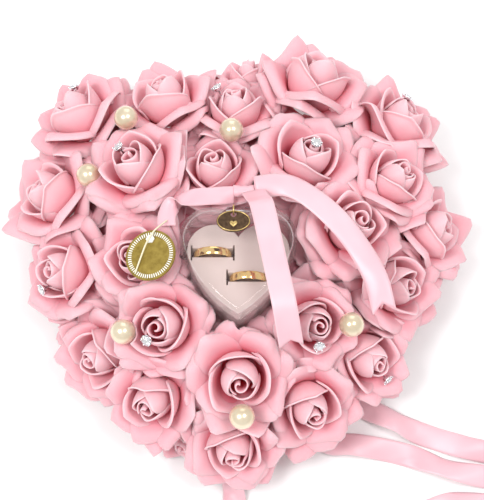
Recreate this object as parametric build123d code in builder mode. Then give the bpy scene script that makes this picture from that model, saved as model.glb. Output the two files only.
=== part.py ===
from build123d import *
import math
import os

os.makedirs("parts", exist_ok=True)

# Ring bearer pillow: a heart-shaped foam cushion carrying foam roses and a clear heart-shaped
# ring box. Millimetres, +Z up, the cushion rests on z = 0, the heart's tip points to -Y.

# ---------------------------------------------------------------- driving dimensions
CUSHION_HALF_WIDTH = 98.0  # fabric heart at its foot
CUSHION_HEIGHT = 61.0  # table to the flat crown that carries the ring box
FELT_THICKNESS = 1.5
BOARD_THICKNESS = 3.0
COVER_THICKNESS = 1.0
LAYER_GAP = 0.2

ROSE_HEIGHT = 16.0  # from the widest ring of petals to the top of the bud
ROSE_ROOT_HEIGHT = 12.0  # height of the points that the roses spread out from
ROSE_STEM_RADIUS = 5.0
ROSE_STEM_LENGTH = 34.0

PEARL_RADIUS = 6.8
PEARL_PIN_RADIUS = 0.6
PEARL_PIN_LENGTH = 16.0

STONE_RADIUS = 2.8
STONE_PIN_RADIUS = 0.5
STONE_PIN_LENGTH = 7.0
STONE_STANDOFF = 1.0  # from a rose's crown to the foot of the stone's cup

BOX_CENTRE = (-2.0, -21.5)
BOX_HALF_WIDTH = 31.5
BOX_WALL = 1.8
BOX_FLOOR = 2.0
BOX_BASE_HEIGHT = 25.0
LID_HEIGHT = 16.0
LID_WALL = 1.6
LID_GAP = 0.4  # between the base's rim and the lid's rim
LID_EDGE_RADIUS = 5.0

INSERT_HALF_WIDTH = 28.0
INSERT_HEIGHT = 16.5
CARD_THICKNESS = 1.0

RING_OUTER_RADIUS = 10.5
RING_THICKNESS = 1.4
RING_WIDTH = 4.4
RING_GAP = 0.3
SLOT_LENGTH = 22.6
SLOT_WIDTH = 5.3
RING_PLACES = {"ring_left": (-16.0, -14.5), "ring_right": (3.5, -28.5)}

HINGE_PIN_RADIUS = 0.9
KNUCKLE_RADIUS = 2.3
KNUCKLE_HALF_WIDTH = 3.0
HINGE_HALF_WIDTH = 6.2
HINGE_SIDE_GAP = 0.3

TAG_RADIUS = 14.2
TAG_THICKNESS = 1.0
TAG_TILT = 18.0
TAG_CENTRE = (-48.8, -20.0, 91.0)
TAG_HOLE_RADIUS = 1.6
TAG_HOLE_OFFSET = 9.0
TAG_CORD_DIAMETER = 0.9

CHARM_CENTRE = (-4.5, -5.0)
CHARM_HALF_LENGTH = 9.0
CHARM_HALF_HEIGHT = 6.0
CHARM_THICKNESS = 1.4
CHARM_HOLE_RADIUS = 1.6
CHARM_RING_RADIUS = 2.6
CHARM_WIRE_RADIUS = 0.45
CHARM_GAP = 0.4

RIBBON_THICKNESS = 1.2
RIBBON_WIDTH = 12.0

# ---------------------------------------------------------------- derived levels
box_foot = CUSHION_HEIGHT
box_rim = box_foot + BOX_BASE_HEIGHT
lid_rim = box_rim + LID_GAP
lid_top = lid_rim + LID_HEIGHT
card_foot = box_foot + BOX_FLOOR
insert_foot = card_foot + CARD_THICKNESS
insert_top = insert_foot + INSERT_HEIGHT
hinge_y = BOX_CENTRE[1] + 0.84 * BOX_HALF_WIDTH + 2.6
hinge_z = box_rim + LID_GAP / 2


# ---------------------------------------------------------------- shared shapes
def heart(half_width, plane, rounding=0.0):
    """Heart outline of two lobe arcs and two long side arcs that meet at the tip."""
    lobe_radius = 0.54 * half_width
    lobe_x = 0.46 * half_width
    lobe_y = 0.30 * half_width
    tip_y = -1.12 * half_width
    side_radius = 2.2 * half_width

    # The side arc touches the lobe arc from inside and passes through the tip.
    to_lobe = Vector(lobe_x, lobe_y - tip_y)
    reach = side_radius - lobe_radius
    along = (side_radius**2 - reach**2 + to_lobe.length**2) / (2 * to_lobe.length)
    across = math.sqrt(side_radius**2 - along**2)
    unit = to_lobe.normalized()
    side_centre = Vector(0, tip_y) + unit * along + Vector(-unit.Y, unit.X) * across
    lobe_centre = Vector(lobe_x, lobe_y)
    tangent = side_centre + (lobe_centre - side_centre).normalized() * side_radius
    halfway = (tangent + Vector(0, tip_y)) * 0.5 - side_centre
    side_middle = side_centre + halfway.normalized() * side_radius
    notch = Vector(0, lobe_y + math.sqrt(lobe_radius**2 - lobe_x**2))
    lobe_top = Vector(lobe_x, lobe_y + lobe_radius)

    with BuildSketch(plane) as outline:
        with BuildLine():
            ThreePointArc((0, tip_y), side_middle, tangent)
            ThreePointArc(tangent, lobe_top, notch)
            mirror(about=Plane.YZ)
        make_face()
        if rounding:
            fillet(outline.vertices().filter_by(lambda v: abs((v - plane.origin).X) < 0.01), rounding)
    return outline.sketch


def dome(half_width, foot, crown):
    """Domed heart: ruled stages between hearts that shrink towards the crown."""
    stages = 6
    with BuildPart() as body:
        for stage in range(stages + 1):
            rise = stage / stages
            scale = 1 - 0.55 * rise**2.2
            height = foot + (crown - foot) * math.sin(rise * math.pi / 2)
            add(heart(half_width * scale, Plane((0, -8 * rise, height))))
        loft(ruled=True)
    return body.part


def band(points, width, plane, radius):
    """Flat strip of even width along a rounded route."""
    with BuildSketch(plane) as strip:
        with BuildLine() as route:
            FilletPolyline(*points, radius=radius)
        trace(route.line, width)
    return strip.sketch


def along(direction_bearing, tilt):
    """Unit vector tilted from +Z towards a bearing counted from +X."""
    bearing = math.radians(direction_bearing)
    lean = math.radians(tilt)
    return Vector(
        math.cos(bearing) * math.sin(lean), math.sin(bearing) * math.sin(lean), math.cos(lean)
    )


# ---------------------------------------------------------------- cushion
with BuildPart() as felt_backing:
    add(heart(CUSHION_HALF_WIDTH, Plane.XY))
    extrude(amount=FELT_THICKNESS)
felt_backing.part.label = "felt_backing"
export_step(felt_backing.part, "parts/felt_backing.step")

board_foot = FELT_THICKNESS
cover_foot = board_foot + BOARD_THICKNESS
core_half_width = CUSHION_HALF_WIDTH - COVER_THICKNESS - 2 * LAYER_GAP
core_crown = CUSHION_HEIGHT - COVER_THICKNESS - LAYER_GAP

with BuildPart() as base_board:
    add(heart(CUSHION_HALF_WIDTH - COVER_THICKNESS, Plane.XY.offset(board_foot)))
    extrude(amount=BOARD_THICKNESS)
base_board.part.label = "base_board"
export_step(base_board.part, "parts/base_board.step")

cushion_form = dome(CUSHION_HALF_WIDTH, cover_foot, CUSHION_HEIGHT)

with BuildPart() as cover_fabric:
    add(cushion_form)
    add(dome(core_half_width + LAYER_GAP, cover_foot, core_crown + LAYER_GAP), mode=Mode.SUBTRACT)
cover_fabric.part.label = "cover_fabric"
export_step(cover_fabric.part, "parts/cover_fabric.step")

with BuildPart() as foam_core:
    add(dome(core_half_width, cover_foot, core_crown))
foam_core.part.label = "foam_core"
export_step(foam_core.part, "parts/foam_core.step")

# ---------------------------------------------------------------- roses
# Head centre (x, y, z) and radius of each rose.
ROSES = [
    ((-94, 80, 52), 20),
    ((-108, 32, 46), 20),
    ((-58, 38, 72), 20),
    ((-44, 86, 58), 20),
    ((-4, 78, 62), 18),
    ((4, 108, 40), 15),
    ((-15, 37, 70), 18),
    ((42, 98, 58), 22),
    ((36, 43, 73), 20),
    ((90, 76, 50), 20),
    ((84, 34, 65), 18),
    ((60, 4, 71), 19),
    ((106, 12, 42), 19),
    ((84, -24, 51), 19),
    ((-98, -14, 46), 19),
    ((-56, -13, 67), 18),
    ((-42, -52, 68), 19),
    ((-76, -60, 41), 18),
    ((-47, -86, 46), 18),
    ((-1, -80, 66), 19),
    ((-4, -110, 40), 18),
    ((36, -90, 47), 18),
    ((68, -62, 43), 18),
    ((38, -50, 65), 17),
    ((-92, -37, 21), 13),
    ((-30, -98, 21), 13),
]


def rose_plane(rose):
    """Plane at a rose's widest ring. Its normal points away from the cushion's inside."""
    centre = Vector(rose[0])
    root = Vector(centre.X / 2, centre.Y / 2, ROSE_ROOT_HEIGHT)
    return Plane(origin=centre, z_dir=centre - root)


def crown_sphere(radius):
    """Radius of a rose's spherical crown, and its centre's height over the widest ring."""
    sphere_radius = (radius**2 + ROSE_HEIGHT**2) / (2 * ROSE_HEIGHT)
    return sphere_radius, ROSE_HEIGHT - sphere_radius


def crown_point(radius, share):
    """Point of a rose's profile, from the top of the bud at 0 to the widest ring at 1."""
    sphere_radius, centre_height = crown_sphere(radius)
    angle = share * math.acos(-centre_height / sphere_radius)
    return sphere_radius * math.sin(angle), centre_height + sphere_radius * math.cos(angle)


for number, rose in enumerate(ROSES, start=1):
    radius = rose[1]
    with BuildPart() as rose_head:
        with BuildSketch(Plane.XZ) as half_profile:
            with BuildLine():
                Polyline((0, -ROSE_STEM_LENGTH), (ROSE_STEM_RADIUS, -ROSE_STEM_LENGTH))
                Line((ROSE_STEM_RADIUS, -ROSE_STEM_LENGTH), (ROSE_STEM_RADIUS, -ROSE_HEIGHT))
                Polyline(
                    (ROSE_STEM_RADIUS, -ROSE_HEIGHT),
                    (0.78 * radius, -0.62 * ROSE_HEIGHT),
                    (radius, 0),
                )
                ThreePointArc((radius, 0), crown_point(radius, 0.5), (0, ROSE_HEIGHT))
                Line((0, ROSE_HEIGHT), (0, -ROSE_STEM_LENGTH))
            make_face()
        revolve(axis=Axis.Z)
    placed_head = rose_plane(rose).location * rose_head.part
    with BuildPart() as fitted_rose:
        add(placed_head)
        add(cushion_form, mode=Mode.SUBTRACT)
    name = f"rose_{number:02d}"
    fitted_rose.part.label = name
    export_step(fitted_rose.part, f"parts/{name}.step")

# ---------------------------------------------------------------- pearls on wire pins
PEARLS = [
    ((-66, 68, 78), (-60, 62, 60)),
    ((-87, 36, 70), (-78, 34, 52)),
    ((-6, 58, 83), (-8, 57, 62)),
    ((-64, -58, 76), (-58, -56, 60)),
    ((59, -54, 76), (54, -48, 60)),
    ((0, -104, 74), (0, -96, 60)),
]
with BuildPart() as pearl_pins:
    for centre, target in PEARLS:
        inward = (Vector(target) - Vector(centre)).normalized()
        with BuildSketch(Plane(origin=centre, z_dir=inward)):
            Circle(PEARL_PIN_RADIUS)
        extrude(amount=PEARL_PIN_LENGTH)
pearl_pins.part.label = "pearl_pins"
export_step(pearl_pins.part, "parts/pearl_pins.step")

for number, (centre, target) in enumerate(PEARLS, start=1):
    inward = (Vector(target) - Vector(centre)).normalized()
    with BuildPart() as pearl:
        with Locations(centre):
            Sphere(PEARL_RADIUS)
        with BuildSketch(Plane(origin=centre, z_dir=inward)):
            Circle(PEARL_PIN_RADIUS + 0.05)
        extrude(amount=PEARL_RADIUS + 1, mode=Mode.SUBTRACT)
    name = f"pearl_{number}"
    pearl.part.label = name
    export_step(pearl.part, f"parts/{name}.step")

# ---------------------------------------------------------------- rhinestones
# Number of the rose, distance from its axis, and bearing of the stone round it.
STONES = [(1, 9, 75), (3, 6, 135), (5, 10, 150), (9, 2, 270), (10, 9, 75), (15, 10, 225), (17, 6, 235)]
STONES += [(24, 9, 270), (23, 11, 315)]


def stone_plane(rose_number, distance, bearing):
    """Plane on a rose's crown where a stone's setting stands, its normal outwards."""
    rose = ROSES[rose_number - 1]
    frame = rose_plane(rose)
    around = along(bearing, 90)
    flat = around - frame.z_dir * around.dot(frame.z_dir)
    sideways = flat.normalized()
    sphere_radius, centre_height = crown_sphere(rose[1])
    lean = math.asin(distance / sphere_radius)
    normal = sideways * math.sin(lean) + frame.z_dir * math.cos(lean)
    crown_centre = Vector(rose[0]) + frame.z_dir * centre_height
    return Plane(origin=crown_centre + normal * (sphere_radius + STONE_STANDOFF), z_dir=normal)


with BuildPart() as setting_shape:
    with BuildSketch(Plane.XZ):
        with BuildLine():
            Polyline(
                (0, -STONE_PIN_LENGTH),
                (STONE_PIN_RADIUS, -STONE_PIN_LENGTH),
                (STONE_PIN_RADIUS, -0.6),
                (STONE_RADIUS * 0.75, -0.6),
                (STONE_RADIUS + 0.5, 1.9),
                (STONE_RADIUS + 0.1, 1.9),
                (0.4, 0),
                (0, 0),
                (0, -STONE_PIN_LENGTH),
            )
        make_face()
    revolve(axis=Axis.Z)

with BuildPart() as stone_shape:
    with BuildSketch(Plane.XZ):
        with BuildLine():
            Polyline(
                (0, 0.15),
                (0.35, 0.15),
                (STONE_RADIUS, 2.0),
                (STONE_RADIUS, 2.3),
                (STONE_RADIUS * 0.6, 3.2),
                (0, 3.2),
                (0, 0.15),
            )
        make_face()
    revolve(axis=Axis.Z)

stone_locations = [stone_plane(*stone).location for stone in STONES]

with BuildPart() as stone_settings:
    for place in stone_locations:
        add(place * setting_shape.part)
stone_settings.part.label = "stone_settings"
export_step(stone_settings.part, "parts/stone_settings.step")

with BuildPart() as rhinestones:
    for place in stone_locations:
        add(place * stone_shape.part)
rhinestones.part.label = "rhinestones"
export_step(rhinestones.part, "parts/rhinestones.step")


# ---------------------------------------------------------------- ring box
def box_plane(height):
    """Horizontal plane centred on the ring box."""
    return Plane((BOX_CENTRE[0], BOX_CENTRE[1], height))


def hinge_cylinder(low_x, high_x, radius):
    """Cylinder on the hinge line between two distances from the box's middle."""
    with BuildPart() as rod:
        with BuildSketch(Plane((BOX_CENTRE[0] + low_x, hinge_y, hinge_z), x_dir=(0, 1, 0), z_dir=(1, 0, 0))):
            Circle(radius)
        extrude(amount=high_x - low_x)
    return rod.part


def hinge_arm(low_x, high_x, low_z, high_z, start_y):
    """Block that joins a knuckle to the wall in the heart's notch."""
    with BuildPart() as arm:
        with BuildSketch(Plane.XY.offset(low_z)):
            with Locations((BOX_CENTRE[0] + (low_x + high_x) / 2, (start_y + hinge_y) / 2)):
                Rectangle(high_x - low_x, hinge_y - start_y)
        extrude(amount=high_z - low_z)
    return arm.part


side_low = KNUCKLE_HALF_WIDTH + HINGE_SIDE_GAP
notch_y = BOX_CENTRE[1] + 0.583 * BOX_HALF_WIDTH
outer_cavity = heart(BOX_HALF_WIDTH - BOX_WALL, box_plane(box_foot + BOX_FLOOR), 2.0)

with BuildPart() as ring_box_base:
    add(heart(BOX_HALF_WIDTH, box_plane(box_foot), 2.5))
    extrude(amount=BOX_BASE_HEIGHT)
    for low_x, high_x in ((side_low, HINGE_HALF_WIDTH), (-HINGE_HALF_WIDTH, -side_low)):
        add(hinge_arm(low_x, high_x, hinge_z - 8, hinge_z - 0.4, notch_y))
        add(hinge_cylinder(low_x, high_x, KNUCKLE_RADIUS))
    add(outer_cavity)
    extrude(amount=BOX_BASE_HEIGHT, mode=Mode.SUBTRACT)
    add(hinge_cylinder(-HINGE_HALF_WIDTH - 1, HINGE_HALF_WIDTH + 1, HINGE_PIN_RADIUS + 0.02), mode=Mode.SUBTRACT)
ring_box_base.part.label = "ring_box_base"
export_step(ring_box_base.part, "parts/ring_box_base.step")

with BuildPart() as lid_hollow:
    add(heart(BOX_HALF_WIDTH - LID_WALL, box_plane(lid_rim), 2.0))
    extrude(amount=LID_HEIGHT - LID_WALL)
    fillet(lid_hollow.faces().sort_by(Axis.Z)[-1].edges(), LID_EDGE_RADIUS - LID_WALL)

with BuildPart() as ring_box_lid:
    add(heart(BOX_HALF_WIDTH, box_plane(lid_rim), 2.5))
    extrude(amount=LID_HEIGHT)
    fillet(ring_box_lid.faces().sort_by(Axis.Z)[-1].edges(), LID_EDGE_RADIUS)
    add(hinge_arm(-KNUCKLE_HALF_WIDTH, KNUCKLE_HALF_WIDTH, lid_rim, lid_rim + 2.1, notch_y))
    add(hinge_cylinder(-KNUCKLE_HALF_WIDTH, KNUCKLE_HALF_WIDTH, KNUCKLE_RADIUS))
    add(lid_hollow.part, mode=Mode.SUBTRACT)
    add(hinge_cylinder(-HINGE_HALF_WIDTH, HINGE_HALF_WIDTH, HINGE_PIN_RADIUS + 0.06), mode=Mode.SUBTRACT)
ring_box_lid.part.label = "ring_box_lid"
export_step(ring_box_lid.part, "parts/ring_box_lid.step")

with BuildPart() as hinge_pin:
    add(hinge_cylinder(-HINGE_HALF_WIDTH - 0.4, HINGE_HALF_WIDTH + 0.4, HINGE_PIN_RADIUS))
hinge_pin.part.label = "hinge_pin"
export_step(hinge_pin.part, "parts/hinge_pin.step")

with BuildPart() as insert_card:
    add(heart(INSERT_HALF_WIDTH + 0.8, box_plane(card_foot), 2.0))
    extrude(amount=CARD_THICKNESS)
insert_card.part.label = "insert_card"
export_step(insert_card.part, "parts/insert_card.step")

with BuildPart() as ring_insert:
    add(heart(INSERT_HALF_WIDTH, box_plane(insert_foot), 2.0))
    extrude(amount=INSERT_HEIGHT)
    with BuildSketch(Plane.XY.offset(insert_foot)):
        with Locations(*RING_PLACES.values()):
            Rectangle(SLOT_LENGTH, SLOT_WIDTH)
    extrude(amount=INSERT_HEIGHT, mode=Mode.SUBTRACT)
ring_insert.part.label = "ring_insert"
export_step(ring_insert.part, "parts/ring_insert.step")

ring_level = insert_foot + RING_GAP + RING_OUTER_RADIUS
for name, (ring_x, ring_y) in RING_PLACES.items():
    with BuildPart() as ring:
        with BuildSketch(Plane.XY):
            with Locations((RING_OUTER_RADIUS - RING_THICKNESS / 2, 0)):
                RectangleRounded(RING_THICKNESS, RING_WIDTH, 0.5)
        revolve(axis=Axis.Y)
    placed_ring = Pos(ring_x, ring_y, ring_level) * ring.part
    placed_ring.label = name
    export_step(placed_ring, f"parts/{name}.step")

# ---------------------------------------------------------------- ribbons of the bow
knot_centre = (1.0, 19.5, 86.0)
with BuildPart() as bow_knot:
    with Locations(knot_centre):
        Box(12.0, 8.0, 6.0)
    fillet(bow_knot.edges(), 2.0)
bow_knot.part.label = "bow_knot"
export_step(bow_knot.part, "parts/bow_knot.step")

with BuildPart() as bow_loop:
    add(band([(-5.6, 16.5), (-26, 15), (-41, 13), (-41, -1)], 8.0, Plane.XY.offset(85.0), 6.0))
    extrude(amount=RIBBON_THICKNESS)
bow_loop.part.label = "bow_loop"
export_step(bow_loop.part, "parts/bow_loop.step")

with BuildPart() as bow_tail_right:
    route = [(7.4, 21), (24, 22), (40, 12), (58, -6), (72, -30), (76, -50)]
    add(band(route, RIBBON_WIDTH, Plane.XY.offset(88.4), 10.0))
    extrude(amount=RIBBON_THICKNESS)
bow_tail_right.part.label = "bow_tail_right"
export_step(bow_tail_right.part, "parts/bow_tail_right.step")

tail_start = Vector(11.0, 4.0)
tail_end = Vector(26.0, -70.0)
tail_run = tail_end - tail_start
tail_side = Plane(
    origin=(tail_start.X, tail_start.Y, 0), x_dir=tail_run.normalized(), z_dir=(tail_run.Y, -tail_run.X, 0)
)
lid_clearance = lid_top + 0.4
with BuildPart() as bow_tail_left:
    with BuildSketch(tail_side):
        with BuildLine() as tail_line:
            FilletPolyline((0, lid_clearance), (52, lid_clearance), (tail_run.length, 88), radius=20)
            offset(amount=RIBBON_THICKNESS, side=Side.LEFT)
        make_face()
    extrude(amount=RIBBON_WIDTH / 2, both=True)
bow_tail_left.part.label = "bow_tail_left"
export_step(bow_tail_left.part, "parts/bow_tail_left.step")

# ---------------------------------------------------------------- round tag on its string
tag_plane = Plane(origin=TAG_CENTRE, x_dir=along(0, 90 - TAG_TILT), z_dir=along(180, TAG_TILT))
with BuildPart() as tag_disc:
    with BuildSketch(tag_plane):
        Circle(TAG_RADIUS)
        with Locations((0, TAG_HOLE_OFFSET)):
            Circle(TAG_HOLE_RADIUS, mode=Mode.SUBTRACT)
    extrude(amount=TAG_THICKNESS)
tag_disc.part.label = "tag_disc"
export_step(tag_disc.part, "parts/tag_disc.step")

with BuildPart() as tag_lock:
    with BuildSketch(tag_plane.offset(TAG_THICKNESS + 0.1)):
        with Locations((0, TAG_HOLE_OFFSET)):
            RectangleRounded(3.6, 5.0, 1.0)
    extrude(amount=1.6)
tag_lock.part.label = "tag_lock"
export_step(tag_lock.part, "parts/tag_lock.step")

# The string's points in the tag's own plane: along its width, along its height, above its face.
TAG_CORD_POINTS = [(6.4, 21.5, -5.6), (4.6, 16.2, 0.6), (2.4, 12.4, 3.6), (-1.2, 6.5, 4.0)]
TAG_CORD_POINTS += [(-4.6, -1.5, 3.2), (-8.0, -9.5, 1.9)]
cord_points = [tag_plane.from_local_coords(Vector(*point)) for point in TAG_CORD_POINTS]
cord_radii = []
for before, corner, after in zip(cord_points, cord_points[1:], cord_points[2:]):
    run_in = corner - before
    run_out = after - corner
    half_turn = math.radians(run_in.get_angle(run_out) / 2)
    cord_radii.append(0.45 * min(run_in.length, run_out.length) / math.tan(half_turn))
print("tag cord radii", [round(radius, 1) for radius in cord_radii])

with BuildPart() as tag_cord:
    with BuildLine():
        cord_path = FilletPolyline(*cord_points, radius=cord_radii)
    with BuildSketch(Plane(origin=cord_path @ 0, z_dir=cord_path % 0)):
        Circle(TAG_CORD_DIAMETER / 2)
    sweep()
tube_volume = math.pi * TAG_CORD_DIAMETER**2 / 4 * cord_path.length
print("tag cord length", round(cord_path.length, 2))
print("tag cord volume over section times length", round(tag_cord.part.volume / tube_volume, 4))
tag_cord.part.label = "tag_cord"
export_step(tag_cord.part, "parts/tag_cord.step")

# ---------------------------------------------------------------- oval charm and its ring
charm_foot = lid_top + CHARM_GAP
charm_hole_y = CHARM_CENTRE[1] + CHARM_HALF_HEIGHT - 2.2
with BuildPart() as charm_plate:
    with BuildSketch(Plane((CHARM_CENTRE[0], CHARM_CENTRE[1], charm_foot))):
        Ellipse(CHARM_HALF_LENGTH, CHARM_HALF_HEIGHT)
        with Locations((0, charm_hole_y - CHARM_CENTRE[1])):
            Circle(CHARM_HOLE_RADIUS, mode=Mode.SUBTRACT)
    extrude(amount=CHARM_THICKNESS)
charm_plate.part.label = "charm_plate"
export_step(charm_plate.part, "parts/charm_plate.step")

ring_middle = (CHARM_CENTRE[0], charm_hole_y + CHARM_RING_RADIUS, charm_foot + CHARM_THICKNESS / 2)
with BuildPart() as charm_ring:
    with BuildSketch(Plane.XY):
        with Locations((CHARM_RING_RADIUS, 0)):
            Circle(CHARM_WIRE_RADIUS)
    revolve(axis=Axis.Y)
placed_charm_ring = Plane(origin=ring_middle, x_dir=(0, 1, 0), z_dir=(0, 0, 1)).location * charm_ring.part
placed_charm_ring.label = "charm_ring"
export_step(placed_charm_ring, "parts/charm_ring.step")

# ---------------------------------------------------------------- ribbons trailing on the table
TRAILS = {
    "trailing_ribbon_1": [(36, -60), (58, -80), (80, -86), (104, -98), (128, -106), (150, -110)],
    "trailing_ribbon_2": [(10, -92), (36, -108), (64, -104), (94, -110), (122, -120), (150, -124)],
    "trailing_ribbon_3": [(150, -140), (122, -138), (98, -146), (76, -158)],
    "trailing_ribbon_4": [(0, -100), (-5, -124), (-2, -152)],
}
for name, route in TRAILS.items():
    with BuildPart() as trail:
        add(band(route, RIBBON_WIDTH, Plane.XY, 12.0))
        extrude(amount=RIBBON_THICKNESS)
        add(heart(CUSHION_HALF_WIDTH, Plane.XY))
        extrude(amount=RIBBON_THICKNESS, mode=Mode.SUBTRACT)
    trail.part.label = name
    export_step(trail.part, f"parts/{name}.step")
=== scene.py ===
import math
import random

import bpy
import numpy as np
from mathutils import Matrix, Vector


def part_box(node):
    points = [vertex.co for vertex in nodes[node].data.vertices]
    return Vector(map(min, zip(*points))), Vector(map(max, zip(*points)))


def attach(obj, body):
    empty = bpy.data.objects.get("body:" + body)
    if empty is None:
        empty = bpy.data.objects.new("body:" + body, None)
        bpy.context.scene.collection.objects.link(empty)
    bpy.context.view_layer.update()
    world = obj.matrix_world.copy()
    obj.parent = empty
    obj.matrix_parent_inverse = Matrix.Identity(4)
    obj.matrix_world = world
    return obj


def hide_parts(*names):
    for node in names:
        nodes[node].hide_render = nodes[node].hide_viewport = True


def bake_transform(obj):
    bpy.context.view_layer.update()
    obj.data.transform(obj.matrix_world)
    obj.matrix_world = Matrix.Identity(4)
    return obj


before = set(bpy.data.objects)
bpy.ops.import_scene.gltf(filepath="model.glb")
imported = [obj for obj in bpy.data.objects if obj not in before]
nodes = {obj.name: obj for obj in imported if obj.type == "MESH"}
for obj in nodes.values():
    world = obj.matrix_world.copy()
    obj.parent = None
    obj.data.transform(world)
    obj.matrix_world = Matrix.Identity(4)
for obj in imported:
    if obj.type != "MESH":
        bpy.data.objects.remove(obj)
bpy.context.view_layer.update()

# Ring bearer pillow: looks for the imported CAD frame. Metres, +Z up, the heart's tip points to -Y.
MM = 0.001
scene = bpy.context.scene


def put(name, data):
    """New object in the scene."""
    obj = bpy.data.objects.new(name, data)
    scene.collection.objects.link(obj)
    return obj


# -------- camera
CAMERA_ELEVATION = math.radians(70)
CAMERA_DISTANCE = 0.75
CAMERA_LENS = 94
SENSOR_WIDTH = 36
CAMERA_TARGET = Vector((0, 0, 0.045))


def make_camera():
    """Looks down on the cushion from in front of its tip."""
    data = bpy.data.cameras.new("camera")
    data.lens = CAMERA_LENS
    data.sensor_width = SENSOR_WIDTH
    camera = put("camera", data)
    back = Vector((0, -math.cos(CAMERA_ELEVATION), math.sin(CAMERA_ELEVATION)))
    camera.location = CAMERA_TARGET + back * CAMERA_DISTANCE
    camera.rotation_euler = (-back).to_track_quat("-Z", "Y").to_euler()
    scene.camera = camera


make_camera()


# -------- materials
class Nodes:
    """A new material with short calls that add and join its shader nodes."""

    def __init__(self, name):
        self.material = bpy.data.materials.new(name)
        self.material.use_nodes = True
        self.tree = self.material.node_tree
        self.shader = self.tree.nodes["Principled BSDF"]
        self.output = self.tree.nodes["Material Output"]

    def add(self, kind, inputs=None, **settings):
        """Adds a node, sets its properties, and sets or joins its inputs."""
        node = self.tree.nodes.new(kind)
        for key, value in settings.items():
            setattr(node, key, value)
        for key, value in (inputs or {}).items():
            self.plug(node, key, value)
        return node

    def plug(self, node, key, value):
        """Joins a socket to an input, or writes a plain value on it."""
        if isinstance(value, bpy.types.NodeSocket):
            self.tree.links.new(value, node.inputs[key])
        else:
            node.inputs[key].default_value = value

    def set(self, **inputs):
        """Sets inputs of the Principled shader, named with _ for a space."""
        for key, value in inputs.items():
            self.plug(self.shader, key.replace("_", " "), value)

    def place(self):
        """Coordinates in metres, fixed to the piece."""
        return self.add("ShaderNodeTexCoord").outputs["Object"]

    def tone(self):
        """The number from 0 to 1 that a piece's mesh stores at each point."""
        return self.add("ShaderNodeAttribute", attribute_name="tone").outputs["Fac"]

    def noise(self, scale, detail=3.0, rough=0.55):
        """Fractal noise of a number of bumps per metre."""
        inputs = {"Vector": self.place(), "Scale": scale, "Detail": detail, "Roughness": rough}
        return self.add("ShaderNodeTexNoise", inputs).outputs["Fac"]

    def ramp(self, value, stops):
        """Colour ramp of (position, colour) stops."""
        node = self.add("ShaderNodeValToRGB", {"Fac": value})
        elements = node.color_ramp.elements
        while len(elements) < len(stops):
            elements.new(0.5)
        for element, (position, colour) in zip(elements, stops):
            element.position = position
            element.color = (*colour, 1)
        return node.outputs["Color"]

    def range(self, value, low, high, start=0.0, end=1.0):
        """Value from start..end spread over low..high."""
        inputs = {"Value": value, "From Min": start, "From Max": end, "To Min": low, "To Max": high}
        return self.add("ShaderNodeMapRange", inputs).outputs["Result"]

    def mix(self, share, first, second):
        """Mix of two colours."""
        node = self.add("ShaderNodeMix", data_type="RGBA")
        self.plug(node, 0, share)
        for index, value in ((6, first), (7, second)):
            self.plug(node, index, value if isinstance(value, bpy.types.NodeSocket) else (*value, 1))
        return node.outputs[2]

    def math(self, operation, first, second=0.0):
        """Plain arithmetic on two values."""
        node = self.add("ShaderNodeMath", operation=operation)
        self.plug(node, 0, first)
        self.plug(node, 1, second)
        return node.outputs[0]

    def bump(self, height, strength, distance):
        """Joins a height to the shader's normal."""
        inputs = {"Height": height, "Strength": strength, "Distance": distance}
        self.plug(self.shader, "Normal", self.add("ShaderNodeBump", inputs).outputs["Normal"])


def srgb(red, green, blue):
    """Linear colour from screen values of 0 to 255."""
    return tuple(((c / 255 + 0.055) / 1.055) ** 2.4 if c > 10 else c / 255 / 12.92 for c in (red, green, blue))


def rose_material():
    """Matt foam sheet with a fine grain: pale painted highlight at the cut rims and deeper pink painted shade towards
    the folds.
    """
    m = Nodes("rose_foam")
    # The tone ramp paints shade and light: deep crimson painted shade where the tone is low, in the folds, and pale
    # painted highlight where it is high, at the rims.
    painted_shade_stops = [(0.0, (238, 28, 56)), (0.24, (232, 92, 114)), (0.5, (229, 160, 171)), (1.0, (236, 204, 209))]
    painted_shade_colour = m.ramp(m.tone(), [(position, srgb(*colour)) for position, colour in painted_shade_stops])
    cloudy = m.range(m.noise(70, 3), 0.0, 0.2, 0.3, 0.7)
    m.set(Base_Color=m.mix(cloudy, painted_shade_colour, srgb(226, 166, 176)), Roughness=m.range(m.noise(900, 2), 0.5, 0.66))
    m.set(Subsurface_Weight=0.25, Subsurface_Radius=(0.004, 0.0014, 0.0016), Subsurface_Scale=1.0)
    m.set(Sheen_Weight=0.12, Sheen_Roughness=0.5, Sheen_Tint=(1.0, 0.86, 0.88, 1))
    m.bump(m.noise(2600, 3, 0.6), 0.2, 0.0002)
    return m.material


def satin_material():
    """Satin ribbon: fine weave, soft highlights along it and a denser woven edge."""
    m = Nodes("satin_ribbon")
    body = m.mix(m.range(m.noise(28, 2), 0.0, 1.0, 0.35, 0.65), srgb(228, 174, 184), srgb(234, 188, 197))
    edge = m.range(m.tone(), 0.0, 0.5, 0.85, 1.0)
    m.set(Base_Color=m.mix(edge, body, srgb(246, 218, 222)), Roughness=m.range(m.noise(500, 2), 0.3, 0.42))
    m.set(Sheen_Weight=0.15, Sheen_Roughness=0.35, Sheen_Tint=(1, 0.93, 0.94, 1), Anisotropic=0.5)
    m.set(Specular_IOR_Level=0.6)
    inputs = {"Vector": m.place(), "Scale": 900, "Distortion": 1.5, "Detail": 1.0}
    weave = m.add("ShaderNodeTexWave", inputs, bands_direction="DIAGONAL").outputs["Fac"]
    m.bump(m.math("ADD", weave, m.noise(3500, 2)), 0.12, 0.0001)
    return m.material


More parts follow.
